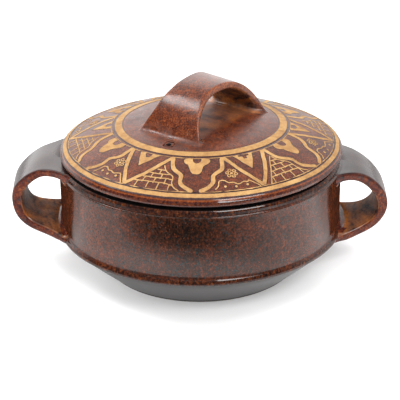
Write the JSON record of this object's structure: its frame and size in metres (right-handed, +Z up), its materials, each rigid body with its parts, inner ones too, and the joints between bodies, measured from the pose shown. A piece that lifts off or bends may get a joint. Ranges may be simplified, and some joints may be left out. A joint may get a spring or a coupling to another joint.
{
  "type": "casserole dish with lift-off lid",
  "caption": "Round stoneware casserole with a cone-shaped foot, side strap handles and a domed lift-off lid that has a strap handle and a steam vent.",
  "frame": {"origin": "centre of the foot, on the surface the dish stands on", "axes": "+X through the right side handle, +Y to the back, +Z up along the turning axis of pot and lid"},
  "size_m": [0.2817, 0.2142, 0.1441],
  "materials": {
    "brown_glaze": "semi-gloss iron-red glaze, finely mottled, breaking to rust on the edges",
    "tan_slip": "matt tan slip"
  },
  "bodies": {
    "pot": {"pot_body": "brown_glaze", "left_handle": "brown_glaze", "right_handle": "brown_glaze"},
    "lid": {"lid_dome": "brown_glaze", "lid_flange": "brown_glaze", "lid_handle": "brown_glaze", "inner_slip_band": "tan_slip", "outer_slip_band": "tan_slip"}
  },
  "joints": [
    {"name": "lid_lift", "type": "slide", "parent": "pot", "child": "lid", "axis": [0, 0, 1], "range_m": [0, 0.14]}
  ]
}
